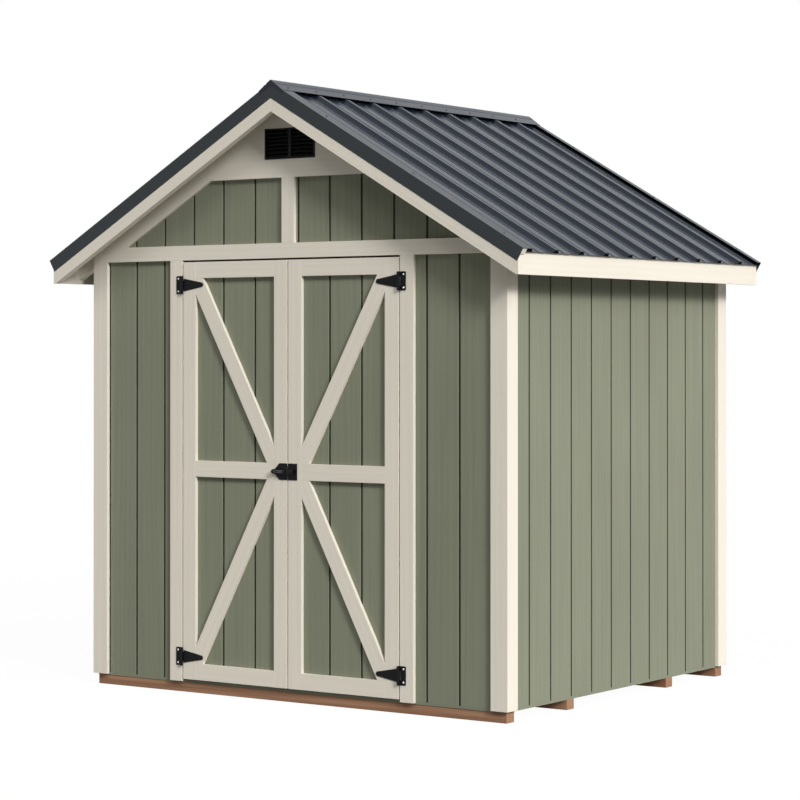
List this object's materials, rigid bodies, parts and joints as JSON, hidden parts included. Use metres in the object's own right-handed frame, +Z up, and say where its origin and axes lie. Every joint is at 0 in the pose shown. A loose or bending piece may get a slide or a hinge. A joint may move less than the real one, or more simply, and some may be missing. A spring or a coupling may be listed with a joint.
{
  "type": "garden shed",
  "caption": "Gable-roofed garden shed with grooved board walls, contrasting trim, a ribbed metal roof, a gable louvre, timber skids and outward-opening braced double doors on T hinges.",
  "frame": {"origin": "on the ground, under the middle of the roof's outline", "axes": "+X to the right across the front, +Y from the front to the back, +Z up; the doors face -Y"},
  "size_m": [2.8126, 2.306, 2.9557],
  "materials": {
    "siding_paint": "satin olive paint over grooved, wood-grained boarding",
    "trim_paint": "satin beige paint",
    "skid_timber": "brown treated timber",
    "framing_timber": "bare sawn timber",
    "deck_board": "bare sheet timber",
    "roof_steel": "satin charcoal paint",
    "edge_steel": "satin dark charcoal paint",
    "black_steel": "black powder coat",
    "vent_plastic": "black moulded plastic"
  },
  "bodies": {
    "shed": {"skids": "skid_timber", "floor_deck": "deck_board", "front_wall_left": "siding_paint", "front_wall_right": "siding_paint", "front_gable": "siding_paint", "left_wall": "siding_paint", "right_wall": "siding_paint", "back_wall": "siding_paint", "side_plates": "framing_timber", "end_plates": "framing_timber", "side_studs": "framing_timber", "end_studs": "framing_timber", "door_header": "framing_timber", "ridge_board": "framing_timber", "rafters": "framing_timber", "eave_blocks": "framing_timber", "roof_deck_left": "deck_board", "roof_deck_right": "deck_board", "roof_metal_left": "roof_steel", "roof_metal_right": "roof_steel", "ridge_cap": "roof_steel", "rake_trims": "edge_steel", "rake_boards": "trim_paint", "eave_fascias": "trim_paint", "corner_trims": "trim_paint", "door_casings": "trim_paint", "header_band": "trim_paint", "front_gable_post": "trim_paint", "front_peak_board": "trim_paint", "gable_friezes": "trim_paint", "back_batten": "trim_paint", "back_peak_board": "trim_paint", "gable_vent": "vent_plastic", "hinge_plates": "black_steel"},
    "left_door": {"left_door_panel": "siding_paint", "left_door_stiles": "trim_paint", "left_door_rails": "trim_paint", "left_door_braces": "trim_paint", "left_hinge_straps": "black_steel", "latch_case": "black_steel"},
    "latch_bolt": {"latch_bolt": "black_steel"},
    "right_door": {"right_door_panel": "siding_paint", "right_door_stiles": "trim_paint", "right_door_rails": "trim_paint", "right_door_braces": "trim_paint", "right_hinge_straps": "black_steel", "latch_catch": "black_steel"}
  },
  "joints": [
    {"name": "left_door_hinge", "type": "hinge", "parent": "shed", "child": "left_door", "pos_m": [-0.65325, -1.0195, 0], "axis": [0, 0, -1], "range_deg": [0, 160]},
    {"name": "right_door_hinge", "type": "hinge", "parent": "shed", "child": "right_door", "pos_m": [0.64325, -1.0195, 0], "axis": [0, 0, 1], "range_deg": [0, 160]},
    {"name": "latch_bolt_slide", "type": "slide", "parent": "left_door", "child": "latch_bolt", "axis": [1, 0, 0], "range_m": [0, 0.03]}
  ]
}
